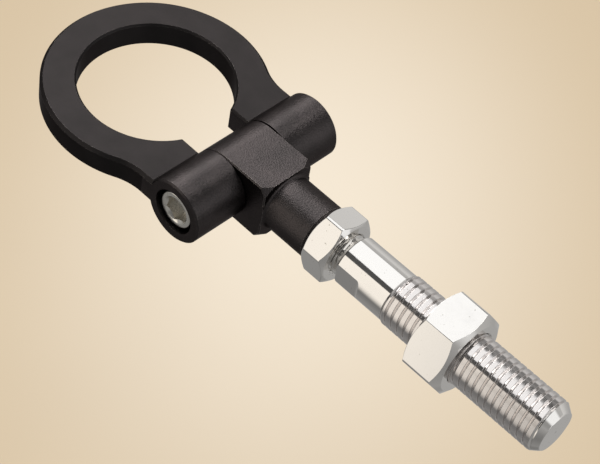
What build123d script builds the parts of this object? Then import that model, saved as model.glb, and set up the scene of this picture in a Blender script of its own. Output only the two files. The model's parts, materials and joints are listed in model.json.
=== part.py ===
from build123d import *
import math
import os

# Folding tow eye: a ring hinged on a block, and a double-ended threaded stud with two nuts.
# Millimetres. The origin is on the stud's axis, where its long thread starts at the shank.
# +X runs along the stud to its tip, +Y along the hinge bolt away from its head, and +Z is
# square to the ring's plate, which lies in line with the stud.

# Eye ring
eye_bore_radius = 25.4
eye_rim_width = 11.4
eye_to_hinge = 41.2
plate_thickness = 9.0
plate_edge_chamfer = 1.0
bore_edge_chamfer = 0.6
arm_flare_radius = 20.0

# Knuckles at the ends of the ring's arms
knuckle_radius = 11.0
knuckle_length = 19.7
knuckle_edge_chamfer = 0.5
knuckle_root_fillet = 1.4
hinge_side_gap = 0.3
running_clearance = 0.05

# Hinge bolt
bolt_radius = 5.0
bolt_head_radius = 6.4
bolt_head_height = 8.0
bolt_head_edge = 0.4
bolt_head_recess = 1.0
bolt_end_recess = 1.5
bolt_end_chamfer = 0.8
counterbore_clearance = 1.3
socket_across_flats = 8.0
socket_depth = 4.5
socket_lead_in = 0.3
socket_turn_angle = 36.0
far_bore_countersink = 0.8

# Pivot block
block_width = 20.0
block_reach = 18.0
block_corner_radius = 12.6
block_edge_chamfer = 0.4
neck_radius = 9.5
neck_length = 17.4
neck_end_chamfer = 1.0
neck_root_fillet = 1.2
stud_hole_depth = 24.0
drill_point_angle = 118.0

# Stud, with its grooves as a share of the pitch
rear_thread_radius = 7.0
rear_thread_pitch = 2.0
rear_thread_grip = 20.0
rear_end_chamfer = 1.0
shank_radius = 8.45
shank_length = 19.1
shank_edge_chamfer = 0.3
wrench_across_flats = 15.2
wrench_flat_length = 8.0
wrench_runout_radius = 2.0
thread_radius = 8.9
thread_pitch = 2.5
thread_length = 61.9
thread_tip_drop = 2.0
thread_tip_length = 2.8
groove_width_share = 0.56
groove_floor_share = 0.12
thread_flank_angle = 60.0

# Nuts
jam_nut_across_flats = 21.0
jam_nut_thickness = 9.4
jam_nut_turn_angle = 42.6
jam_nut_to_shank = 2.9
jam_nut_face_radius = 9.9
lock_nut_across_flats = 26.7
lock_nut_thickness = 13.9
lock_nut_turn_angle = 63.8
lock_nut_from_shank = 14.6
lock_nut_back_radius = 12.6
lock_nut_front_radius = 12.0
nut_chamfer_angle = 30.0
nut_corner_rounding = 0.5
nut_bore_countersink = 0.5

# Places that follow from the sizes
shoulder_x = -shank_length
jam_nut_front_x = shoulder_x - jam_nut_to_shank
neck_end_x = jam_nut_front_x - jam_nut_thickness
block_end_x = neck_end_x - neck_length
hinge_x = block_end_x - block_reach
eye_centre_x = hinge_x - eye_to_hinge
rear_end_x = neck_end_x - rear_thread_grip
eye_outer_radius = eye_bore_radius + eye_rim_width
notch_half_width = block_width / 2 + hinge_side_gap
hinge_half_length = notch_half_width + knuckle_length
bolt_bore_radius = bolt_radius + running_clearance
head_face_y = -hinge_half_length + bolt_head_recess
head_seat_y = head_face_y + bolt_head_height
bolt_end_y = hinge_half_length - bolt_end_recess


def turned(outline):
    """A body turned about X from (x, radius) points that start and end on the axis."""
    return revolve(make_face(Polyline(*outline, close=True)), axis=Axis.X)


def rod(radius, start, end, start_chamfer=0.0, end_chamfer=0.0):
    """A round bar along X from start to end, with a 45 degree chamfer at either end."""
    outline = [(start, 0.0), (start, radius - start_chamfer)]
    if start_chamfer > 0:
        outline.append((start + start_chamfer, radius))
    if end_chamfer > 0:
        outline.append((end - end_chamfer, radius))
    outline += [(end, radius - end_chamfer), (end, 0.0)]
    return turned(outline)


def on_hinge(body):
    """A body modelled along +X about the origin, laid along +Y on the hinge axis."""
    return Pos(hinge_x, 0, 0) * Rot(0, 0, 90) * body


def hexagon_bar(across_flats, start, end, turn, rounding=0.0):
    """A hexagonal bar along X, with one corner turned from +Y towards +Z by the given angle."""
    hexagon = RegularPolygon(across_flats / 2, 6, major_radius=False)
    if rounding > 0:
        hexagon = fillet(hexagon.vertices(), rounding)
    return Rot(turn, 0, 0) * (Pos(start, 0, 0) * extrude(Plane.YZ * hexagon, end - start))


def plate_plan():
    """The plate's outline: the ring's disc and the arms, with a hollow flare between them."""
    disc = Pos(eye_centre_x, 0) * Circle(eye_outer_radius)
    arms = Pos(hinge_x - eye_to_hinge / 2, 0) * Rectangle(eye_to_hinge, 2 * hinge_half_length)
    plan = disc + arms
    arm_sides = [v for v in plan.vertices() if abs(abs(v.Y) - hinge_half_length) < 0.01]
    corners = [v for v in arm_sides if v.X < hinge_x - 0.01]
    return fillet(corners, arm_flare_radius)


def ring_plate():
    """The flat plate with its bore and its notch for the block, and its edges chamfered."""
    plate = Pos(0, 0, -plate_thickness / 2) * extrude(plate_plan(), plate_thickness)
    plate -= Pos(eye_centre_x, 0, 0) * Cylinder(eye_bore_radius, 2 * plate_thickness)
    notch = Box(eye_to_hinge, 2 * notch_half_width, 2 * plate_thickness)
    plate -= Pos(hinge_x - eye_to_hinge / 2, 0, 0) * notch
    bore_edges = []
    outer_edges = []
    for face in (plate.faces().sort_by(Axis.Z)[0], plate.faces().sort_by(Axis.Z)[-1]):
        for edge in face.edges():
            middle = edge @ 0.5
            from_eye = math.hypot(middle.X - eye_centre_x, middle.Y)
            if middle.X > hinge_x - 0.01:
                continue
            if from_eye < eye_bore_radius + 0.01 or abs(middle.Y) < notch_half_width + 0.01:
                bore_edges.append(edge)
            else:
                outer_edges.append(edge)
    plate = chamfer(outer_edges, plate_edge_chamfer)
    bore_middles = [edge @ 0.5 for edge in bore_edges]
    bore_edges = [e for e in plate.edges() if any((e @ 0.5 - m).length < 0.01 for m in bore_middles)]
    return chamfer(bore_edges, bore_edge_chamfer)


def eye_ring():
    """The ring with its two knuckles, bored for the hinge bolt."""
    knuckle = on_hinge(rod(knuckle_radius, notch_half_width, hinge_half_length, 0, knuckle_edge_chamfer))
    ring = ring_plate() + knuckle + mirror(knuckle, about=Plane.XZ)
    root_x = hinge_x - math.sqrt(knuckle_radius ** 2 - (plate_thickness / 2) ** 2)
    roots = [e for e in ring.edges().filter_by(Axis.Y) if abs((e @ 0.5).X - root_x) < 0.01]
    ring = fillet(roots, knuckle_root_fillet)
    ring -= on_hinge(rod(bolt_bore_radius, -hinge_half_length, hinge_half_length))
    counterbore_radius = bolt_head_radius + counterbore_clearance
    ring -= on_hinge(rod(counterbore_radius, -hinge_half_length - 1, head_seat_y))
    mouth_radius = bolt_bore_radius + far_bore_countersink
    mouth_start = hinge_half_length - far_bore_countersink
    ring -= on_hinge(turned([(mouth_start, 0), (mouth_start, bolt_bore_radius),
                             (hinge_half_length, mouth_radius), (hinge_half_length, 0)]))
    return ring


def pivot_block():
    """The block between the knuckles, round about the hinge, with its neck and the stud's hole."""
    side = Pos(hinge_x, 0) * Circle(knuckle_radius)
    side += Pos(hinge_x + block_reach / 2, 0) * Rectangle(block_reach, 2 * knuckle_radius)
    block = extrude(Plane.XZ * side, block_width / 2, both=True)
    sides = block.faces().filter_by(Axis.Y)
    block = chamfer(sides.edges(), block_edge_chamfer)

    # The corners at the neck's end are turned off by a 45 degree cone about the stud's axis
    rise = block_reach + knuckle_radius
    block &= turned([(block_end_x, 0), (block_end_x, block_corner_radius),
                     (block_end_x - rise, block_corner_radius + rise), (block_end_x - rise, 0)])

    neck = rod(neck_radius, block_end_x - neck_root_fillet, neck_end_x, 0, neck_end_chamfer)
    flare_radius = neck_radius + neck_root_fillet
    flare = rod(flare_radius, block_end_x - neck_root_fillet, block_end_x + neck_root_fillet)
    groove = Rot(0, 90, 0) * Torus(flare_radius, neck_root_fillet)
    flare -= Pos(block_end_x + neck_root_fillet, 0, 0) * groove
    flare &= Pos(block_end_x, 0, 0) * Box(4 * neck_root_fillet, block_width, 4 * neck_radius)
    block = block + flare + neck

    block -= on_hinge(rod(bolt_bore_radius, -block_width, block_width))
    hole_radius = rear_thread_radius + running_clearance
    hole_floor_x = neck_end_x - stud_hole_depth
    drill_point = hole_radius / math.tan(math.radians(drill_point_angle / 2))
    block -= turned([(hole_floor_x - drill_point, 0), (hole_floor_x, hole_radius), (neck_end_x, hole_radius),
                     (neck_end_x, 0)])
    return block


def hinge_bolt():
    """The bolt that joins both knuckles to the block, with a hexagon socket in its head."""
    head = rod(bolt_head_radius, head_face_y, head_seat_y, bolt_head_edge)
    socket = hexagon_bar(socket_across_flats, head_face_y, head_face_y + socket_depth, socket_turn_angle)
    lead_radius = socket_across_flats / math.sqrt(3) + socket_lead_in
    lead_in = turned([(head_face_y, 0), (head_face_y, lead_radius), (head_face_y + lead_radius, 0)])
    shaft = rod(bolt_radius, head_face_y + socket_depth, bolt_end_y, 0, bolt_end_chamfer)
    return on_hinge(head - socket - lead_in + shaft)


def grooves(radius, pitch, start, end):
    """The (x, radius) points of a thread's grooves from start to end, each groove a ring."""
    width = groove_width_share * pitch
    floor = groove_floor_share * pitch
    depth = (width - floor) / 2 / math.tan(math.radians(thread_flank_angle / 2))
    points = []
    for turn in range(int((end - start) / pitch)):
        middle = start + (turn + 0.5) * pitch
        points += [(middle - width / 2, radius), (middle - floor / 2, radius - depth),
                   (middle + floor / 2, radius - depth), (middle + width / 2, radius)]
    return points


def threaded_stud():
    """The stud: rear thread into the neck, shank with two wrench flats, and the long thread."""
    step = thread_radius - shank_radius
    outline = [(rear_end_x, 0), (rear_end_x, rear_thread_radius - rear_end_chamfer),
               (rear_end_x + rear_end_chamfer, rear_thread_radius)]
    outline += grooves(rear_thread_radius, rear_thread_pitch, rear_end_x + rear_end_chamfer, shoulder_x)
    outline += [(shoulder_x, rear_thread_radius), (shoulder_x, shank_radius - shank_edge_chamfer),
                (shoulder_x + shank_edge_chamfer, shank_radius), (0, shank_radius), (step, thread_radius)]
    tip_start = thread_length - thread_tip_length
    outline += grooves(thread_radius, thread_pitch, step, tip_start)
    outline += [(tip_start, thread_radius), (thread_length, thread_radius - thread_tip_drop),
                (thread_length, 0)]
    stud = turned(outline)

    # Each wrench flat is open at the shoulder and runs out on a radius at its other end
    flat_y = wrench_across_flats / 2
    cut_length = wrench_flat_length + wrench_runout_radius
    cut = Pos(shoulder_x + cut_length / 2, flat_y + shank_radius / 2) * Rectangle(cut_length, shank_radius)
    runout = [v for v in cut.vertices() if v.X > shoulder_x + 1 and v.Y < flat_y + 0.01]
    cutter = extrude(fillet(runout, wrench_runout_radius), shank_radius, both=True)
    return stud - cutter - mirror(cutter, about=Plane.XZ)


def nut(across_flats, back, front, turn, thread, back_radius, front_radius):
    """A hexagon nut from back to front along X, its corners turned off down to each face's radius."""
    slope = math.tan(math.radians(nut_chamfer_angle))
    body = hexagon_bar(across_flats, back, front, turn, nut_corner_rounding)
    for face_x, face_radius, inwards in ((back, back_radius, 1), (front, front_radius, -1)):
        # Each cone opens away from its face to a radius well outside the corners
        outside = across_flats
        cone_end = face_x + inwards * (outside - face_radius) * slope
        far_end = face_x + inwards * outside
        body &= turned([(face_x, 0), (face_x, face_radius), (cone_end, outside), (far_end, outside),
                        (far_end, 0)])
    bore = thread + running_clearance
    mouth = bore + nut_bore_countersink
    body -= turned([(back, 0), (back, mouth), (back + nut_bore_countersink, bore),
                    (front - nut_bore_countersink, bore), (front, mouth), (front, 0)])
    return body


def main():
    lock_nut_front_x = lock_nut_from_shank + lock_nut_thickness
    pieces = {
        "eye_ring": eye_ring(),
        "pivot_block": pivot_block(),
        "hinge_bolt": hinge_bolt(),
        "threaded_stud": threaded_stud(),
        "jam_nut": nut(jam_nut_across_flats, neck_end_x, jam_nut_front_x, jam_nut_turn_angle,
                       rear_thread_radius, jam_nut_face_radius, jam_nut_face_radius),
        "lock_nut": nut(lock_nut_across_flats, lock_nut_from_shank, lock_nut_front_x, lock_nut_turn_angle,
                        thread_radius, lock_nut_back_radius, lock_nut_front_radius),
    }
    os.makedirs("parts", exist_ok=True)
    for name, piece in pieces.items():
        export_step(piece, f"parts/{name}.step")


main()
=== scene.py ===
import json
import math

import bpy
from mathutils import Matrix, Vector

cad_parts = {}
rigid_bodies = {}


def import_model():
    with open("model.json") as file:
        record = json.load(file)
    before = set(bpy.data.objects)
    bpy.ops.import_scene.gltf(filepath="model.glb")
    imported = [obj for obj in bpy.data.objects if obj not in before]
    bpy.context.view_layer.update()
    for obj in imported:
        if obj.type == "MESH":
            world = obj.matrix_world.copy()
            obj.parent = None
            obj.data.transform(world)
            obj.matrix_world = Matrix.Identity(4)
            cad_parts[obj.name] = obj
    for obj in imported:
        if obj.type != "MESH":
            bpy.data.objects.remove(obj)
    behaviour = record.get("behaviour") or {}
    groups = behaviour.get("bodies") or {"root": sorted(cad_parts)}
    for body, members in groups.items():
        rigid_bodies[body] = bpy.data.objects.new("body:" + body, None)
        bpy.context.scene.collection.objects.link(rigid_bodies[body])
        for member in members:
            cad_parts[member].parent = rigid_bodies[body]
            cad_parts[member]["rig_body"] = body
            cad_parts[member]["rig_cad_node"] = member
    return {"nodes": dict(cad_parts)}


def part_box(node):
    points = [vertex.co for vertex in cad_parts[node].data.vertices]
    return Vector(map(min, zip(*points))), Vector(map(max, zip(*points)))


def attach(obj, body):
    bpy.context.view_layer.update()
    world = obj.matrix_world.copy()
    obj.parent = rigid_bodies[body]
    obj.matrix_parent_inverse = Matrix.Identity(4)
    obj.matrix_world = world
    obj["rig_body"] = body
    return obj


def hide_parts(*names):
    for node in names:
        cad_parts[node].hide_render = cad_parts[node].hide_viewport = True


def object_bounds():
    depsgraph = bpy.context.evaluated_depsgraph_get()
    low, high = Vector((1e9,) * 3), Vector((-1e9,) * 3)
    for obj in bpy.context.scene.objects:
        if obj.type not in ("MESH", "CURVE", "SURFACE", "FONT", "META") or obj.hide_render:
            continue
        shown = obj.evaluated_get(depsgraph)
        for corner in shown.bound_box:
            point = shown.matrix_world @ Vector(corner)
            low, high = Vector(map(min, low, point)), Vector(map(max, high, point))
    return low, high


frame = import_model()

# Folding tow eye: black anodised aluminium ring and block, bright plated steel stud, nuts and bolt.
# Metres, in the model's frame: +X along the stud to its tip, +Y along the hinge bolt away from its
# head, +Z square to the ring's plate, and the origin where the long thread starts at the shank.
MM = 0.001

cad_low, cad_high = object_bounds()
stud_low, stud_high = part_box("threaded_stud")
jam_low, jam_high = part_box("jam_nut")
lock_low, lock_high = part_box("lock_nut")
bolt_low, bolt_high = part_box("hinge_bolt")
ring_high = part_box("eye_ring")[1]
HINGE_X = (bolt_low.x + bolt_high.x) / 2
KNUCKLE_RADIUS = ring_high.x - HINGE_X
KNUCKLE_SLACK = 0.05 * MM

# Long thread: its arcs and its floor are shares of the pitch, its flank is in degrees
STUD_REAR = stud_low.x
STUD_TIP = stud_high.x
THREAD_RADIUS = stud_high.y
THREAD_PITCH = 2.5 * MM
THREAD_DEPTH = 0.62 * MM
THREAD_PHASE = 1.5 * MM
THREAD_START = 0.5 * MM
THREAD_RUNOUT = 2.6 * MM
THREAD_FLANK = 60
THREAD_FLOOR = 0.03
ROOT_ARC = 0.03
ROOT_SLACK = 0.1 * MM
CREST_ARC = 0.06
CREST_HOLD = 0.03 * MM
TIP_LENGTH = 2.8 * MM
TIP_DROP = 2.0 * MM
TIP_EDGE_LENGTH = 0.15 * MM
TIP_EDGE_DROP = 0.1 * MM
CENTRE_MARK = 0.6 * MM

# Rear thread and plain shank, with the shank's wrench flats
REAR_RADIUS = 7.0 * MM
REAR_PITCH = 2.0 * MM
REAR_DEPTH = 0.9 * MM
REAR_CHAMFER = 1.0 * MM
REAR_RUNOUT = 1.5 * MM
REAR_NECK = 0.6 * MM
SHANK_RADIUS = 8.45 * MM
SHANK_LENGTH = 19.1 * MM
SHANK_CHAMFER = 0.3 * MM
SHANK_GROOVE = 0.25 * MM
WRENCH_FLAT = 15.2 * MM
WRENCH_LENGTH = 8.0 * MM
WRENCH_RUNOUT = 2.0 * MM

# Nuts: the turns and the chamfer are in degrees, and a face radius is where the chamfer starts
JAM_FLATS = 21.0 * MM
JAM_TURN = 42.6
JAM_FACE = 9.9 * MM
JAM_GAP = 0.02 * MM
LOCK_FLATS = 26.7 * MM
LOCK_TURN = 63.8
LOCK_BACK_FACE = 13.3 * MM
LOCK_FRONT_FACE = 12.0 * MM
NUT_CORNER = 1.2 * MM
NUT_CHAMFER = 33
NUT_MOUTH = 0.5 * MM
NUT_EDGE = 0.3 * MM
NUT_CLEARANCE = 0.05 * MM

# Hinge bolt
BOLT_RADIUS = 5.0 * MM
BOLT_HEAD = 8.0 * MM
BOLT_HEAD_EDGE = 0.5 * MM
BOLT_HEAD_ROUND = 0.15 * MM
BOLT_END_CHAMFER = 0.8 * MM
SOCKET_FLATS = 8.0 * MM
SOCKET_DEPTH = 4.5 * MM
SOCKET_TURN = 36.0
SOCKET_LEAD_IN = 0.3 * MM

# Edge rounding, and the turn in degrees up to which each piece is shaded smooth
BLACK_EDGE = 0.27 * MM
BOLT_EDGE = 0.1 * MM
BLACK_SMOOTH = 25
STUD_SMOOTH = 24
NUT_SMOOTH = 15
BOLT_SMOOTH = 30

# How fine the shapes are: steps of a full turn, a nut's corner and a wrench flat's run-out, degrees of a
# step on a thread's arcs, and the turn in degrees under which the CAD's facets are one flat face
STEPS = 96
CORNER_STEPS = 6
WRENCH_STEPS = 8
ARC_STEP = 15
FLAT_TURN = 0.4

# How far a cutter reaches past what it cuts, how near counts as the same place, and what is merged
OVERSHOOT = 1.0 * MM
NEAR = 0.01 * MM
WELD = 0.001 * MM
THREAD_WELD = 0.002 * MM

# Finishes: sRGB colours, the sizes of clouds, turning lines and nicks, the noise over which the black goes
# from deep to worn, the steel hazes over and a nick turns dull, and how far both finishes' roughness swings
BLASTED_DEEP = "#3F3C3C"
BLASTED_WORN = "#4F4A4A"
SATIN_DEEP = "#2E2C2C"
SATIN_WORN = "#393636"
# Pale line on the black's rounded edges: partly dye worn thin, partly a painted highlight on every edge
EDGE_WEAR_AND_HIGHLIGHT_DEEP = "#6A6563"
EDGE_WEAR_AND_HIGHLIGHT_PALE = "#D0C8C2"
BLACK_GLANCE = "#BAB7B6"
BLACK_CLOUD = 9 * MM
BLACK_TONE = (0.7, 1.3)
BLACK_SWING = 0.04
STEEL_BRIGHT = "#E9E7E4"
STEEL_ROLLED = "#DEDAD8"
STEEL_BOLT = "#E6E3DC"
STEEL_DULL = "#9C9890"
STEEL_CLOUD = 5 * MM
STEEL_HAZE = (0.35, 0.7)
STEEL_SWING = (0.7, 1.7)
TURNING_LINE = 0.14 * MM
TURNING_STRETCH = 0.06
STEEL_NICK = 0.7 * MM
NICK_EDGE = (0.74, 0.8)

# Places of the finishes in a black piece's and in the stud's list of materials
BLASTED, SATIN, WORN_EDGE_PAINTED_HIGHLIGHT = range(3)
PLAIN_STEEL, ROLLED_STEEL = range(2)

# Camera of the photograph
CAMERA_PLACE = Vector((0.19819, -0.31988, 0.44933))
CAMERA_AZIMUTH = math.radians(36.77)
CAMERA_ELEVATION = math.radians(48.83)
CAMERA_ROLL = math.radians(11.35)
CAMERA_LENS = 118.45
CAMERA_SENSOR = 36.0

# Room: the softboxes' distance, its grey from straight down to straight up as (a direction's Z, grey), the
# tint of that grey, and the share of it left at the front and at the back as (a direction's Y, share)
SOFTBOX_DISTANCE = 2.5
AIR = ((-1.0, 0.22), (-0.9, 0.37), (-0.7, 0.36), (-0.45, 0.33), (-0.1, 0.42), (0.1, 0.52), (0.28, 0.58),
       (0.4, 0.44), (0.55, 0.4), (0.72, 0.14), (1.0, 0.08))
AIR_WARMTH = (1, 0.985, 0.965)
ROOM_FRONT = (-0.7, 0.6)
ROOM_BACK = (0.8, 1.25)

# Black flag in the room: where each of its four edges starts and ends to fade in, as a direction's X or Z,
# and the share of the room's light that it leaves
FLAG_EDGES = (("X", -0.34, -0.29), ("X", 0.62, 0.5), ("Z", 0.26, 0.36), ("Z", 0.7, 0.5))
FLAG_LEAVES = 0.42

# Floor, glowing by itself with a painted pool of light: middle, reach towards the camera, and how much wider it is
# across
FLOOR_DROP = 70 * MM
FLOOR_RADIUS = 12
FLOOR_MIDDLE = (-0.0864, 0.061, 0.0)
FLOOR_REACH = 0.1439
FLOOR_STRETCH = 1.5
# How strongly the floor glows by itself, though it is no lamp, and the small share of it that is lit paper
FLOOR_GLOW = 1.035
FLOOR_PAPER = 0.12
FLOOR_PAINTED_POOL_BRIGHT = "#F6E9D5"
FLOOR_PAINTED_POOL_DIM = "#D9C5A7"

# Which body of the frame each node belongs to
NODE_BODY = {"eye_ring": "eye_ring", "pivot_block": "pivot_block", "hinge_bolt": "eye_ring",
             "threaded_stud": "stud", "jam_nut": "jam_nut", "lock_nut": "lock_nut"}


def linear(code):
    """An sRGB colour such as #8090A0 as linear red, green, blue and alpha."""
    parts = [int(code[i:i + 2], 16) / 255 for i in (1, 3, 5)]
    return tuple(c / 12.92 if c <= 0.04045 else ((c + 0.055) / 1.055) ** 2.4 for c in parts) + (1.0,)


def add_node(tree, kind, settings=None, links=None):
    """A node in the tree: each setting is an input's value or an attribute, each link an input's source."""
    node = tree.nodes.new(kind)
    for name, value in (settings or {}).items():
        if isinstance(name, int) or name in node.inputs:
            node.inputs[name].default_value = value
        else:
            setattr(node, name, value)
    for name, source in (links or {}).items():
        tree.links.new(source, node.inputs[name])
    return node


def new_material(name):
    """An empty material, with its tree and its output node."""
    material = bpy.data.materials.new(name)
    material.use_nodes = True
    tree = material.node_tree
    tree.nodes.clear()
    return material, tree, add_node(tree, "ShaderNodeOutputMaterial")


def black_anodised(name, deep, worn, roughness, grit, depth):
    """Black anodised aluminium: metal under a dyed oxide, near black, with a soft grey sheen.

    The dye swallows most of the metal's mirror, also at a glancing angle. The blasting leaves fine dents,
    and where the oxide is thinner between them the surface is a shade lighter. Real dents are too fine to
    show at this size, so the grit is drawn coarser, and they still read as a fine speckle.
    """
    material, tree, output = new_material(name)
    place = add_node(tree, "ShaderNodeTexCoord").outputs["Object"]
    grain = add_node(tree, "ShaderNodeTexNoise", {"Scale": 1 / grit, "Detail": 2.0, "Roughness": 0.6},
                     {"Vector": place})
    cloud = add_node(tree, "ShaderNodeTexNoise", {"Scale": 1 / BLACK_CLOUD, "Detail": 3.0}, {"Vector": place})
    both = add_node(tree, "ShaderNodeMath", {"operation": "ADD"},
                    {0: grain.outputs["Fac"], 1: cloud.outputs["Fac"]})
    tone = add_node(tree, "ShaderNodeMapRange", {"From Min": BLACK_TONE[0], "From Max": BLACK_TONE[1]},
                    {"Value": both.outputs["Value"]})
    dye = add_node(tree, "ShaderNodeMix", {"data_type": "RGBA"}, {0: tone.outputs["Result"]})
    dye.inputs[6].default_value = linear(deep)
    dye.inputs[7].default_value = linear(worn)
    gloss = add_node(tree, "ShaderNodeMapRange",
                     {"To Min": roughness - BLACK_SWING, "To Max": roughness + BLACK_SWING},
                     {"Value": cloud.outputs["Fac"]})
    bump = add_node(tree, "ShaderNodeBump", {"Strength": 1.0, "Distance": depth},
                    {"Height": grain.outputs["Fac"]})
    shader = add_node(tree, "ShaderNodeBsdfPrincipled", {"Metallic": 1.0, "Specular Tint": linear(BLACK_GLANCE)},
                      {"Base Color": dye.outputs[2], "Roughness": gloss.outputs["Result"],
                       "Normal": bump.outputs["Normal"]})
    tree.links.new(shader.outputs["BSDF"], output.inputs["Surface"])
    return material


def plated_steel(name, colour, roughness, marks):
    """Bright plated steel: a mirror with a faint haze in clouds, fine turning lines and a few dark nicks.

    The turning lines are drawn a little coarser than a fine lathe cut leaves them, so that they blur the
    mirror across the stud at this size.
    """
    material, tree, output = new_material(name)
    place = add_node(tree, "ShaderNodeTexCoord").outputs["Object"]
    cloud = add_node(tree, "ShaderNodeTexNoise", {"Scale": 1 / STEEL_CLOUD, "Detail": 4.0, "Roughness": 0.6},
                     {"Vector": place})
    haze = add_node(tree, "ShaderNodeMapRange",
                    {"From Min": STEEL_HAZE[0], "From Max": STEEL_HAZE[1],
                     "To Min": roughness * STEEL_SWING[0], "To Max": roughness * STEEL_SWING[1]},
                    {"Value": cloud.outputs["Fac"]})
    stretched = add_node(tree, "ShaderNodeMapping", {"Scale": (1.0, TURNING_STRETCH, TURNING_STRETCH)},
                         {"Vector": place})
    lines = add_node(tree, "ShaderNodeTexNoise", {"Scale": 1 / TURNING_LINE, "Detail": 2.0},
                     {"Vector": stretched.outputs["Vector"]})
    nicks = add_node(tree, "ShaderNodeTexNoise", {"Scale": 1 / STEEL_NICK, "Detail": 1.0}, {"Vector": place})
    nick = add_node(tree, "ShaderNodeMapRange", {"From Min": NICK_EDGE[0], "From Max": NICK_EDGE[1]},
                    {"Value": nicks.outputs["Fac"]})
    plate = add_node(tree, "ShaderNodeMix", {"data_type": "RGBA"}, {0: nick.outputs["Result"]})
    plate.inputs[6].default_value = linear(colour)
    plate.inputs[7].default_value = linear(STEEL_DULL)
    bump = add_node(tree, "ShaderNodeBump", {"Strength": 1.0, "Distance": marks}, {"Height": lines.outputs["Fac"]})
    shader = add_node(tree, "ShaderNodeBsdfPrincipled", {"Metallic": 1.0},
                      {"Base Color": plate.outputs[2], "Roughness": haze.outputs["Result"],
                       "Normal": bump.outputs["Normal"]})
    tree.links.new(shader.outputs["BSDF"], output.inputs["Surface"])
    return material


def select_only(piece):
    """Makes one object the only one selected, and the active one."""
    bpy.ops.object.select_all(action="DESELECT")
    piece.select_set(True)
    bpy.context.view_layer.objects.active = piece


def settle(piece, name):
    """Puts a piece's place into its mesh, and names both."""
    select_only(piece)
    bpy.ops.object.transform_apply(location=True, rotation=True, scale=True)
    piece.name = name
    piece.data.name = name
    return piece


def drawn(name, points):
    """A line of (x, radius) points in the XZ plane, drawn by extruding one point along it."""
    bpy.ops.object.select_all(action="DESELECT")
    bpy.ops.mesh.primitive_plane_add(size=MM, location=(points[0][0], 0, points[0][1]))
    line = settle(bpy.context.object, name)
    bpy.ops.object.mode_set(mode="EDIT")
    bpy.ops.mesh.select_all(action="SELECT")
    bpy.ops.mesh.merge(type="CENTER")
    for (x, z), (next_x, next_z) in zip(points, points[1:]):
        step = (next_x - x, 0, next_z - z)
        bpy.ops.mesh.extrude_vertices_move(TRANSFORM_OT_translate={"value": step})
    bpy.ops.object.mode_set(mode="OBJECT")
    return line


def close_up(piece):
    """Merges a shell's doubles and turns its faces outwards."""
    select_only(piece)
    bpy.ops.object.mode_set(mode="EDIT")
    bpy.ops.mesh.select_all(action="SELECT")
    bpy.ops.mesh.remove_doubles(threshold=WELD)
    bpy.ops.mesh.normals_make_consistent(inside=False)
    bpy.ops.object.mode_set(mode="OBJECT")


def turned(name, points, steps=STEPS):
    """A solid turned about X on a lathe: its outline runs from the axis to the axis."""
    piece = drawn(name, points)
    bpy.ops.object.mode_set(mode="EDIT")
    bpy.ops.mesh.select_all(action="SELECT")
    bpy.ops.mesh.spin(steps=steps, angle=2 * math.pi, center=(0, 0, 0), axis=(1, 0, 0))
    bpy.ops.object.mode_set(mode="OBJECT")
    close_up(piece)
    return piece


def combine(piece, tool, operation):
    """Joins, cuts or trims a piece with a tool, which is used up."""
    select_only(piece)
    work = piece.modifiers.new("work", "BOOLEAN")
    work.operation = operation
    work.solver = "EXACT"
    work.object = tool
    bpy.ops.object.modifier_apply(modifier=work.name)
    bpy.data.objects.remove(tool)


def along(points, x):
    """The radius at x on a turned outline of (x, radius) points."""
    for (x0, r0), (x1, r1) in zip(points, points[1:]):
        if x <= x1:
            return r0 + (r1 - r0) * max(0.0, x - x0) / (x1 - x0)
    return points[-1][1]


def thread(name, start, end, radius, pitch, depth, phase, lowest, highest):
    """A right-hand screw thread with open ends, held between two turned outlines where it runs in and out."""
    first = start - 2 * pitch
    first += (phase - first) % pitch
    crest_arc, root_arc = CREST_ARC * pitch, ROOT_ARC * pitch
    flank = math.radians(THREAD_FLANK)
    bends = [math.radians(angle) for angle in range(0, THREAD_FLANK + 1, ARC_STEP)]
    x = THREAD_FLOOR * pitch / 2
    side = [(x + root_arc * math.sin(a), radius - depth + root_arc * (1 - math.cos(a))) for a in bends]
    x += root_arc * math.sin(flank)
    x += (depth - (crest_arc + root_arc) * (1 - math.cos(flank))) / math.tan(flank)
    for a in reversed(bends):
        side.append((x + crest_arc * (math.sin(flank) - math.sin(a)), radius - crest_arc * (1 - math.cos(a))))
    side += [(side[-1][0] + CREST_HOLD, radius), (pitch / 2, radius)]
    profile = [(first - x, r) for x, r in reversed(side)] + [(first + x, r) for x, r in side]
    piece = drawn(name, profile)
    winding = piece.modifiers.new("winding", "SCREW")
    winding.axis = "X"
    winding.angle = 2 * math.pi
    winding.screw_offset = pitch
    winding.iterations = int((end - start) / pitch) + 5
    winding.steps = STEPS
    select_only(piece)
    bpy.ops.object.modifier_apply(modifier=winding.name)
    bpy.ops.object.mode_set(mode="EDIT")
    bpy.ops.mesh.select_all(action="SELECT")
    bpy.ops.mesh.remove_doubles(threshold=THREAD_WELD)
    bpy.ops.object.mode_set(mode="OBJECT")
    for vertex in piece.data.vertices:
        now = math.hypot(vertex.co.y, vertex.co.z)
        wanted = min(max(now, along(lowest, vertex.co.x)), along(highest, vertex.co.x))
        vertex.co.y *= wanted / now
        vertex.co.z *= wanted / now
    bpy.ops.object.mode_set(mode="EDIT")
    for place, outwards in ((start, -1), (end, 1)):
        bpy.ops.mesh.select_all(action="SELECT")
        bpy.ops.mesh.bisect(plane_co=(place, 0, 0), plane_no=(outwards, 0, 0), clear_outer=True,
                            threshold=1e-7)
    bpy.ops.object.mode_set(mode="OBJECT")
    return piece


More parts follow.
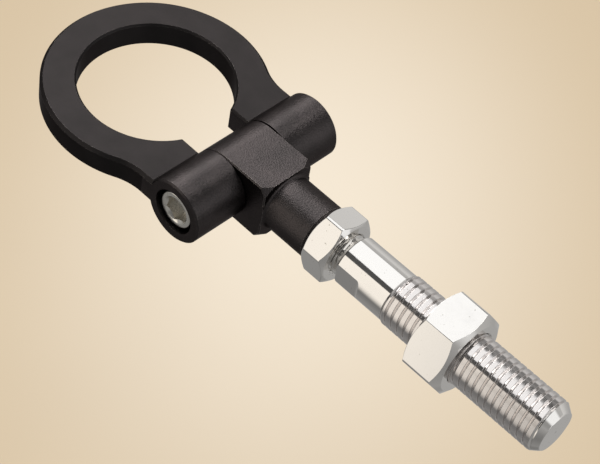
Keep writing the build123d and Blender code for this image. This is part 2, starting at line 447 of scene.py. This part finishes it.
def select_rim(piece, place):
    """Selects the open edges of a piece at a place along X, in edit mode."""
    bpy.ops.mesh.select_mode(type="EDGE")
    bpy.ops.mesh.select_all(action="DESELECT")
    bpy.ops.mesh.select_non_manifold(extend=False, use_wire=False, use_boundary=True, use_multi_face=False,
                                     use_non_contiguous=False, use_verts=False)
    bpy.ops.object.mode_set(mode="OBJECT")
    for edge in piece.data.edges:
        if edge.select:
            edge.select = all(abs(piece.data.vertices[v].co.x - place) < NEAR for v in edge.vertices)
    for vertex in piece.data.vertices:
        vertex.select = False
    for edge in piece.data.edges:
        if edge.select:
            for v in edge.vertices:
                piece.data.vertices[v].select = True
    bpy.ops.object.mode_set(mode="EDIT")


def hexagon(name, across_flats, start, end, turn, corner=0.0):
    """A hexagonal bar along X, with one corner turned from +Y towards +Z by the turn in degrees.

    Its long edges may be rounded with the corner's radius.
    """
    bpy.ops.object.select_all(action="DESELECT")
    bpy.ops.mesh.primitive_cylinder_add(vertices=6, radius=across_flats / math.sqrt(3), depth=end - start,
                                        location=((start + end) / 2, 0, 0), rotation=(0, math.pi / 2, 0))
    bar = settle(bpy.context.object, name)
    corner_now = max(bar.data.vertices, key=lambda v: v.co.y)
    bar.rotation_euler = (math.radians(turn) - math.atan2(corner_now.co.z, corner_now.co.y), 0, 0)
    settle(bar, name)
    if corner > 0:
        bpy.ops.object.mode_set(mode="EDIT")
        bpy.ops.mesh.select_all(action="DESELECT")
        bpy.ops.object.mode_set(mode="OBJECT")
        for edge in bar.data.edges:
            ends = [bar.data.vertices[v].co for v in edge.vertices]
            edge.select = abs(ends[0].x - ends[1].x) > (end - start) / 2
        bpy.ops.object.mode_set(mode="EDIT")
        bpy.ops.mesh.select_mode(type="EDGE")
        bpy.ops.mesh.bevel(offset=corner * math.tan(math.radians(30)), segments=CORNER_STEPS)
        bpy.ops.mesh.select_mode(type="VERT")
        bpy.ops.object.mode_set(mode="OBJECT")
    return bar


def ease(piece, width, angle, segments=2, finish=-1):
    """Rounds the edges that turn by more than the angle, and shades the faces between them smooth.

    The roundings may have a finish of their own, by its place in the piece's list of materials.
    """
    select_only(piece)
    rounding = piece.modifiers.new("rounding", "BEVEL")
    rounding.width = width
    rounding.segments = segments
    rounding.limit_method = "ANGLE"
    rounding.angle_limit = math.radians(angle)
    rounding.material = finish
    bpy.ops.object.modifier_apply(modifier=rounding.name)
    shade(piece, angle)


def shade(piece, angle):
    """Shades a piece smooth up to the angle, with each large face kept flat."""
    select_only(piece)
    bpy.ops.object.shade_smooth_by_angle(angle=math.radians(angle))
    normals = piece.modifiers.new("normals", "WEIGHTED_NORMAL")
    normals.keep_sharp = True
    bpy.ops.object.modifier_apply(modifier=normals.name)


def copy_of(node, name):
    """A copy of a CAD node's mesh as a new piece, its loose triangles merged and its flat faces whole."""
    piece = frame["nodes"][node].copy()
    piece.data = frame["nodes"][node].data.copy()
    piece.name = name
    piece.parent = None
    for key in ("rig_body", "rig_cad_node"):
        del piece[key]
    piece.data.materials.clear()
    bpy.context.scene.collection.objects.link(piece)
    select_only(piece)
    bpy.ops.mesh.customdata_custom_splitnormals_clear()
    bpy.ops.object.mode_set(mode="EDIT")
    bpy.ops.mesh.select_all(action="SELECT")
    bpy.ops.mesh.remove_doubles(threshold=WELD)
    bpy.ops.mesh.dissolve_limited(angle_limit=math.radians(FLAT_TURN))
    bpy.ops.object.mode_set(mode="OBJECT")
    return piece


def dress(piece, node):
    """Has a piece stand for a node, which it hides, and ride on that node's body."""
    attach(piece, NODE_BODY[node])
    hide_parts(node)


def make_black(node, name, finishes):
    """The ring or the block: blasted, but satin on the ring's plate, with worn edges that also carry a painted
    highlight.
    """
    piece = copy_of(node, name)
    for finish in finishes:
        piece.data.materials.append(finish)
    for face in piece.data.polygons:
        from_hinge = math.hypot(face.center.x - HINGE_X, face.center.z)
        plate = node == "eye_ring" and from_hinge > KNUCKLE_RADIUS + KNUCKLE_SLACK
        face.material_index = SATIN if plate else BLASTED
    # Every rounding takes the pale edge finish: worn dye and a painted highlight together
    ease(piece, BLACK_EDGE, BLACK_SMOOTH, finish=WORN_EDGE_PAINTED_HIGHLIGHT)
    dress(piece, node)


def make_shank():
    """The plain shank between the threads, with two wrench flats that run out in an arc, and open ends."""
    shoulder = -SHANK_LENGTH
    edge = SHANK_RADIUS - SHANK_CHAMFER
    shank = turned("shank", [
        (shoulder, 0), (shoulder, edge), (shoulder + SHANK_CHAMFER, SHANK_RADIUS),
        (-SHANK_GROOVE / 2, SHANK_RADIUS), (0, SHANK_RADIUS - SHANK_GROOVE / 2), (0, 0)])
    length = WRENCH_LENGTH + WRENCH_RUNOUT + OVERSHOOT
    for side in (1, -1):
        bpy.ops.object.select_all(action="DESELECT")
        bpy.ops.mesh.primitive_cube_add(size=1, scale=(length, SHANK_RADIUS, 4 * SHANK_RADIUS),
                                        location=(shoulder - OVERSHOOT + length / 2,
                                                  side * (WRENCH_FLAT + SHANK_RADIUS) / 2, 0))
        cutter = settle(bpy.context.object, "cutter")
        corner = (shoulder - OVERSHOOT + length, side * WRENCH_FLAT / 2)
        for vertex in cutter.data.vertices:
            vertex.select = abs(vertex.co.x - corner[0]) < NEAR and abs(vertex.co.y - corner[1]) < NEAR
        for line in cutter.data.edges:
            line.select = all(cutter.data.vertices[v].select for v in line.vertices)
        for face in cutter.data.polygons:
            face.select = False
        bpy.ops.object.mode_set(mode="EDIT")
        bpy.ops.mesh.select_mode(type="EDGE")
        bpy.ops.mesh.bevel(offset=WRENCH_RUNOUT, segments=WRENCH_STEPS)
        bpy.ops.mesh.select_mode(type="VERT")
        bpy.ops.object.mode_set(mode="OBJECT")
        combine(shank, cutter, "DIFFERENCE")
    select_only(shank)
    bpy.ops.object.mode_set(mode="EDIT")
    bpy.ops.mesh.select_mode(type="FACE")
    bpy.ops.mesh.select_all(action="DESELECT")
    bpy.ops.object.mode_set(mode="OBJECT")
    for face in shank.data.polygons:
        face.select = any(all(abs(shank.data.vertices[v].co.x - end) < WELD for v in face.vertices)
                          for end in (shoulder, 0))
    bpy.ops.object.mode_set(mode="EDIT")
    bpy.ops.mesh.delete(type="FACE")
    bpy.ops.mesh.select_mode(type="VERT")
    bpy.ops.object.mode_set(mode="OBJECT")
    return shank


def make_stud(steel, thread_steel):
    """The stud: rear thread, shank with two wrench flats, and the long thread with its chamfered tip."""
    shoulder = -SHANK_LENGTH
    start = SHANK_RADIUS - SHANK_GROOVE
    under = THREAD_RADIUS - THREAD_DEPTH - ROOT_SLACK
    tip = STUD_TIP - TIP_LENGTH
    edge = THREAD_RADIUS - TIP_DROP
    stud = thread("stud", 0.0, STUD_TIP, THREAD_RADIUS, THREAD_PITCH, THREAD_DEPTH, THREAD_PHASE,
                  [(0, start), (THREAD_START, SHANK_RADIUS), (THREAD_RUNOUT, under), (STUD_TIP, under)],
                  [(0, start), (THREAD_RADIUS - start, THREAD_RADIUS), (tip, THREAD_RADIUS),
                   (STUD_TIP - TIP_EDGE_LENGTH, edge + TIP_EDGE_DROP), (STUD_TIP, edge - TIP_EDGE_DROP)])
    rear_root = REAR_RADIUS - REAR_DEPTH
    rear = thread("rear", STUD_REAR, shoulder, REAR_RADIUS, REAR_PITCH, REAR_DEPTH, REAR_PITCH / 2,
                  [(STUD_REAR, 0), (shoulder, 0)],
                  [(STUD_REAR, rear_root - ROOT_SLACK), (STUD_REAR + REAR_CHAMFER, REAR_RADIUS),
                   (shoulder - REAR_RUNOUT, REAR_RADIUS), (shoulder - REAR_NECK, rear_root),
                   (shoulder, rear_root)])
    bpy.ops.object.select_all(action="DESELECT")
    for piece in (make_shank(), rear, stud):
        piece.select_set(True)
    bpy.context.view_layer.objects.active = stud
    bpy.ops.object.join()
    bpy.ops.object.mode_set(mode="EDIT")
    for rim in (shoulder, 0.0):
        select_rim(stud, rim)
        bpy.ops.mesh.fill()
    for rim in (STUD_REAR, STUD_TIP):
        select_rim(stud, rim)
        bpy.ops.mesh.edge_face_add()
    bpy.ops.mesh.select_mode(type="FACE")
    bpy.ops.mesh.extrude_region_move()
    narrow = CENTRE_MARK / (edge - TIP_EDGE_DROP)
    bpy.ops.transform.resize(value=(1, narrow, narrow), center_override=(STUD_TIP, 0, 0))
    bpy.ops.mesh.extrude_region_move(TRANSFORM_OT_translate={"value": (-CENTRE_MARK / 2, 0, 0)})
    bpy.ops.mesh.merge(type="CENTER")
    bpy.ops.mesh.select_mode(type="VERT")
    bpy.ops.object.mode_set(mode="OBJECT")
    close_up(stud)
    shade(stud, STUD_SMOOTH)
    stud.data.materials.append(steel)
    stud.data.materials.append(thread_steel)
    for face in stud.data.polygons:
        face.material_index = ROLLED_STEEL if 0 < face.center.x < tip else PLAIN_STEEL
    dress(stud, "threaded_stud")


def make_nut(name, node, low, high, across_flats, turn, back_face, front_face, bore, steel):
    """A hexagon nut: corners turned off at both faces, bore with a countersunk mouth at each end."""
    nut = hexagon(name, across_flats, low.x - OVERSHOOT, high.x + OVERSHOOT, turn, NUT_CORNER)
    envelope = turned(name + "_envelope", cone_points(low.x, high.x, back_face, front_face), 2 * STEPS)
    combine(nut, envelope, "INTERSECT")
    drill = turned(name + "_drill", [
        (low.x - OVERSHOOT, 0), (low.x - OVERSHOOT, bore + NUT_MOUTH + OVERSHOOT), (low.x + NUT_MOUTH, bore),
        (high.x - NUT_MOUTH, bore), (high.x + OVERSHOOT, bore + NUT_MOUTH + OVERSHOOT), (high.x + OVERSHOOT, 0)])
    combine(nut, drill, "DIFFERENCE")
    ease(nut, NUT_EDGE, NUT_SMOOTH)
    nut.data.materials.append(steel)
    dress(nut, node)


def cone_points(back, front, back_face, front_face):
    """Two cones that open from a nut's faces and meet between them, as a turned outline."""
    slope = math.tan(math.radians(NUT_CHAMFER))
    meet_radius = (front - back) / (2 * slope) + (back_face + front_face) / 2
    meet = back + (meet_radius - back_face) * slope
    return [(back, 0), (back, back_face), (meet, meet_radius), (front, front_face), (front, 0)]


def make_bolt(steel):
    """The hinge bolt: cheese head with a hexagon socket, and a plain round end."""
    head_radius = (bolt_high.x - bolt_low.x) / 2
    face, seat, end = bolt_low.y, bolt_low.y + BOLT_HEAD, bolt_high.y
    bolt = turned("bolt", [
        (face, 0), (face, head_radius - BOLT_HEAD_EDGE), (face + BOLT_HEAD_ROUND, head_radius - BOLT_HEAD_ROUND),
        (face + BOLT_HEAD_EDGE, head_radius), (seat, head_radius), (seat, BOLT_RADIUS),
        (end - BOLT_END_CHAMFER, BOLT_RADIUS), (end, BOLT_RADIUS - BOLT_END_CHAMFER), (end, 0)])
    socket = hexagon("socket", SOCKET_FLATS, face - OVERSHOOT, face + SOCKET_DEPTH, SOCKET_TURN)
    combine(bolt, socket, "DIFFERENCE")
    lead = SOCKET_FLATS / math.sqrt(3) + SOCKET_LEAD_IN
    lead_in = turned("lead_in", [(face - OVERSHOOT, 0), (face - OVERSHOOT, lead + OVERSHOOT), (face + lead, 0)])
    combine(bolt, lead_in, "DIFFERENCE")
    bolt.rotation_euler = (0, 0, math.pi / 2)
    bolt.location = (HINGE_X, 0, 0)
    settle(bolt, "bolt")
    ease(bolt, BOLT_EDGE, BOLT_SMOOTH)
    bolt.data.materials.append(steel)
    dress(bolt, "hinge_bolt")


def place_camera():
    """The camera of the photograph."""
    data = bpy.data.cameras.new("camera")
    data.sensor_width = CAMERA_SENSOR
    data.lens = CAMERA_LENS
    camera = bpy.data.objects.new("camera", data)
    bpy.context.scene.collection.objects.link(camera)
    level = math.cos(CAMERA_ELEVATION)
    back = Vector((math.sin(CAMERA_AZIMUTH) * level, -math.cos(CAMERA_AZIMUTH) * level,
                   math.sin(CAMERA_ELEVATION)))
    right = Vector((math.cos(CAMERA_AZIMUTH), math.sin(CAMERA_AZIMUTH), 0))
    up = back.cross(right)
    turned_right = right * math.cos(CAMERA_ROLL) + up * math.sin(CAMERA_ROLL)
    turned_up = up * math.cos(CAMERA_ROLL) - right * math.sin(CAMERA_ROLL)
    rotation = Matrix((turned_right, turned_up, back)).transposed()
    camera.matrix_world = Matrix.Translation(CAMERA_PLACE) @ rotation.to_4x4()
    bpy.context.scene.camera = camera


def softbox(name, azimuth, elevation, corners, colour, strength, side_edge, low_edge):
    """A softbox facing the object, with soft edges that fade into the room behind it.

    Its corners are (right, up) seen from the object at unit distance, low ones first and each pair from
    left to right. A side edge or low edge is how far in the light fades, as a share of its width or height.
    """
    material, tree, output = new_material(name + "_cloth")
    place = add_node(tree, "ShaderNodeTexCoord").outputs["UV"]
    sides = add_node(tree, "ShaderNodeSeparateXYZ", links={"Vector": place})
    inwards = add_node(tree, "ShaderNodeMath", {"operation": "PINGPONG", 1: 0.5}, {0: sides.outputs["X"]})
    falloff = []
    for distance, edge in ((inwards.outputs["Value"], side_edge), (sides.outputs["Y"], low_edge)):
        falloff.append(add_node(tree, "ShaderNodeMapRange", {"interpolation_type": "SMOOTHSTEP", "From Max": edge},
                                {"Value": distance}).outputs["Result"])
    both = add_node(tree, "ShaderNodeMath", {"operation": "MULTIPLY"}, {0: falloff[0], 1: falloff[1]})
    glow = add_node(tree, "ShaderNodeEmission", {"Color": linear(colour), "Strength": strength})
    clear = add_node(tree, "ShaderNodeBsdfTransparent")
    cloth = add_node(tree, "ShaderNodeMixShader",
                     links={0: both.outputs["Value"], 1: clear.outputs["BSDF"], 2: glow.outputs["Emission"]})
    tree.links.new(cloth.outputs["Shader"], output.inputs["Surface"])
    turn, rise = math.radians(azimuth), math.radians(elevation)
    towards = Vector((math.cos(turn) * math.cos(rise), math.sin(turn) * math.cos(rise), math.sin(rise)))
    right = Vector((math.sin(turn), -math.cos(turn), 0))
    up = right.cross(towards)
    bpy.ops.mesh.primitive_plane_add(size=1)
    panel = bpy.context.object
    panel.name = name
    for vertex, (across, above) in zip(panel.data.vertices, corners):
        vertex.co = (towards + across * right + above * up) * SOFTBOX_DISTANCE
    panel.data.materials.append(material)
    panel.visible_camera = False
    panel.visible_shadow = False


def studio_air():
    """The room's own dim light: brightest at the horizon, grey below, and dark where a black flag hangs."""
    world = bpy.data.worlds.new("studio")
    bpy.context.scene.world = world
    world.use_nodes = True
    tree = world.node_tree
    tree.nodes.clear()
    output = add_node(tree, "ShaderNodeOutputWorld")
    place = add_node(tree, "ShaderNodeTexCoord").outputs["Generated"]
    parts = add_node(tree, "ShaderNodeSeparateXYZ", links={"Vector": place})
    share = add_node(tree, "ShaderNodeMapRange", {"From Min": -1.0, "From Max": 1.0},
                     {"Value": parts.outputs["Z"]})
    ramp = add_node(tree, "ShaderNodeValToRGB", links={"Fac": share.outputs["Result"]})
    band = ramp.color_ramp
    while len(band.elements) < len(AIR):
        band.elements.new(0.5)
    for element, (height, grey) in zip(band.elements, AIR):
        element.position = (height + 1) / 2
        element.color = tuple(grey * tint for tint in AIR_WARMTH) + (1,)
    back = add_node(tree, "ShaderNodeMapRange",
                    {"From Min": ROOM_FRONT[0], "From Max": ROOM_BACK[0],
                     "To Min": ROOM_FRONT[1], "To Max": ROOM_BACK[1]}, {"Value": parts.outputs["Y"]})
    flag = []
    for axis, start, end in FLAG_EDGES:
        edge = add_node(tree, "ShaderNodeMapRange",
                        {"interpolation_type": "SMOOTHSTEP", "From Min": start, "From Max": end},
                        {"Value": parts.outputs[axis]})
        flag.append(edge.outputs["Result"])
    while len(flag) > 1:
        both = add_node(tree, "ShaderNodeMath", {"operation": "MULTIPLY"}, {0: flag.pop(0), 1: flag.pop(0)})
        flag.append(both.outputs["Value"])
    left = add_node(tree, "ShaderNodeMapRange", {"To Min": 1.0, "To Max": FLAG_LEAVES}, {"Value": flag[0]})
    power = add_node(tree, "ShaderNodeMath", {"operation": "MULTIPLY"},
                     {0: back.outputs["Result"], 1: left.outputs["Result"]})
    background = add_node(tree, "ShaderNodeBackground",
                          links={"Color": ramp.outputs["Color"], "Strength": power.outputs["Value"]})
    tree.links.new(background.outputs["Background"], output.inputs["Surface"])


def pale_floor():
    """The plain pale floor: it glows by itself like a light table, with a painted pool of light, so that it holds
    only a faint shadow.

    It lies deep enough for the ring to fold down over it.
    """
    material, tree, output = new_material("pale_floor_glow_and_painted_pool")
    place = add_node(tree, "ShaderNodeTexCoord").outputs["Object"]
    pool = add_node(tree, "ShaderNodeMapping",
                    {"vector_type": "TEXTURE", "Location": FLOOR_MIDDLE, "Rotation": (0, 0, CAMERA_AZIMUTH),
                     "Scale": (1, FLOOR_STRETCH, 1)}, {"Vector": place})
    from_middle = add_node(tree, "ShaderNodeVectorMath", {"operation": "LENGTH"}, {0: pool.outputs["Vector"]})
    spread = add_node(tree, "ShaderNodeMapRange", {"interpolation_type": "SMOOTHSTEP", "From Max": FLOOR_REACH},
                      {"Value": from_middle.outputs["Value"]})
    tone = add_node(tree, "ShaderNodeValToRGB", links={"Fac": spread.outputs["Result"]})
    # Painted pool of light: brighter in the middle, dimmer towards the edge
    tone.color_ramp.elements[0].color = linear(FLOOR_PAINTED_POOL_BRIGHT)
    tone.color_ramp.elements[1].color = linear(FLOOR_PAINTED_POOL_DIM)
    # The floor glows by itself, though it is no lamp; only a small share of it is lit paper
    glow = add_node(tree, "ShaderNodeEmission", {"Strength": FLOOR_GLOW}, {"Color": tone.outputs["Color"]})
    paper = add_node(tree, "ShaderNodeBsdfDiffuse", links={"Color": tone.outputs["Color"]})
    both = add_node(tree, "ShaderNodeMixShader", {0: FLOOR_PAPER},
                    {1: glow.outputs["Emission"], 2: paper.outputs["BSDF"]})
    tree.links.new(both.outputs["Shader"], output.inputs["Surface"])
    bpy.ops.mesh.primitive_circle_add(vertices=64, radius=FLOOR_RADIUS, fill_type="NGON",
                                      location=(0, 0, cad_low.z - FLOOR_DROP))
    floor = bpy.context.object
    floor.name = "floor"
    floor.data.materials.append(material)
    floor.visible_glossy = False


place_camera()
studio_air()
softbox("overhead_far_softbox", azimuth=90, elevation=75,
        corners=((-1.2, -0.74), (-0.52, -0.74), (-1.2, 0.66), (-0.52, 0.66)),
        colour="#FFFDFB", strength=3.9, side_edge=0.04, low_edge=0.03)
softbox("overhead_near_softbox", azimuth=90, elevation=75,
        corners=((-0.54, -0.74), (-0.43, -0.74), (-0.54, 0.72), (0.2, 1.5)),
        colour="#FFFFFF", strength=1.2, side_edge=0.06, low_edge=0.03)
softbox("strip_softbox", azimuth=84, elevation=57,
        corners=((-0.16, -0.2), (0.16, -0.2), (-0.16, 0.28), (0.16, 0.28)),
        colour="#FFFDFB", strength=3.4, side_edge=0.1, low_edge=0.1)
softbox("front_softbox", azimuth=-90, elevation=14,
        corners=((0.08, -1.23), (1.15, -1.23), (0.08, 0.64), (1.15, 0.64)),
        colour="#FFF8EE", strength=1.13, side_edge=0.3, low_edge=0.535)
softbox("side_softbox", azimuth=16, elevation=15,
        corners=((-0.42, -0.365), (0.56, -0.365), (-0.42, 0.5), (0.56, 0.5)),
        colour="#FFFFFF", strength=1.05, side_edge=0.2, low_edge=0.25)
pale_floor()
bpy.context.scene.view_settings.view_transform = "Standard"

# Machined and bead blasted, then dyed black: a soft grey sheen with a fine speckle
blasted = black_anodised("bead_blasted_black_anodised_aluminium", BLASTED_DEEP, BLASTED_WORN,
                         roughness=0.35, grit=0.5 * MM, depth=0.12 * MM)
# Finely machined, then dyed black: an even, darker satin without the speckle
satin = black_anodised("fine_satin_black_anodised_aluminium", SATIN_DEEP, SATIN_WORN,
                       roughness=0.46, grit=0.25 * MM, depth=0.004 * MM)
# Edges where handling has thinned the dye, with a painted highlight along every rounded edge: a fine line, paler
# than the faces beside it
worn_edge_and_painted_highlight = black_anodised("worn_edge_black_anodised_aluminium", EDGE_WEAR_AND_HIGHLIGHT_DEEP, EDGE_WEAR_AND_HIGHLIGHT_PALE,
                           roughness=0.34, grit=0.5 * MM, depth=0.002 * MM)
# Turned or milled steel with bright plating: a near mirror that shows the softboxes' edges
steel = plated_steel("bright_plated_steel", STEEL_BRIGHT, roughness=0.06, marks=0.0003 * MM)
# Rolled thread with the same plating: the mirror a little greyer and softer
thread_steel = plated_steel("plated_steel_of_the_rolled_thread", STEEL_ROLLED, roughness=0.1, marks=0.0006 * MM)
# Bolt with a dull plating: broad, blurred highlights
bolt_steel = plated_steel("dull_plated_steel", STEEL_BOLT, roughness=0.22, marks=0.001 * MM)

make_black("eye_ring", "ring", (blasted, satin, worn_edge_and_painted_highlight))
make_black("pivot_block", "block", (blasted, satin, worn_edge_and_painted_highlight))
make_stud(steel, thread_steel)
make_nut("jam_nut_bright", "jam_nut", jam_low, jam_high - Vector((JAM_GAP, 0, 0)), JAM_FLATS, JAM_TURN,
         JAM_FACE, JAM_FACE, REAR_RADIUS + NUT_CLEARANCE, steel)
make_nut("lock_nut_bright", "lock_nut", lock_low, lock_high, LOCK_FLATS, LOCK_TURN,
         LOCK_BACK_FACE, LOCK_FRONT_FACE, THREAD_RADIUS + NUT_CLEARANCE, steel)
make_bolt(bolt_steel)
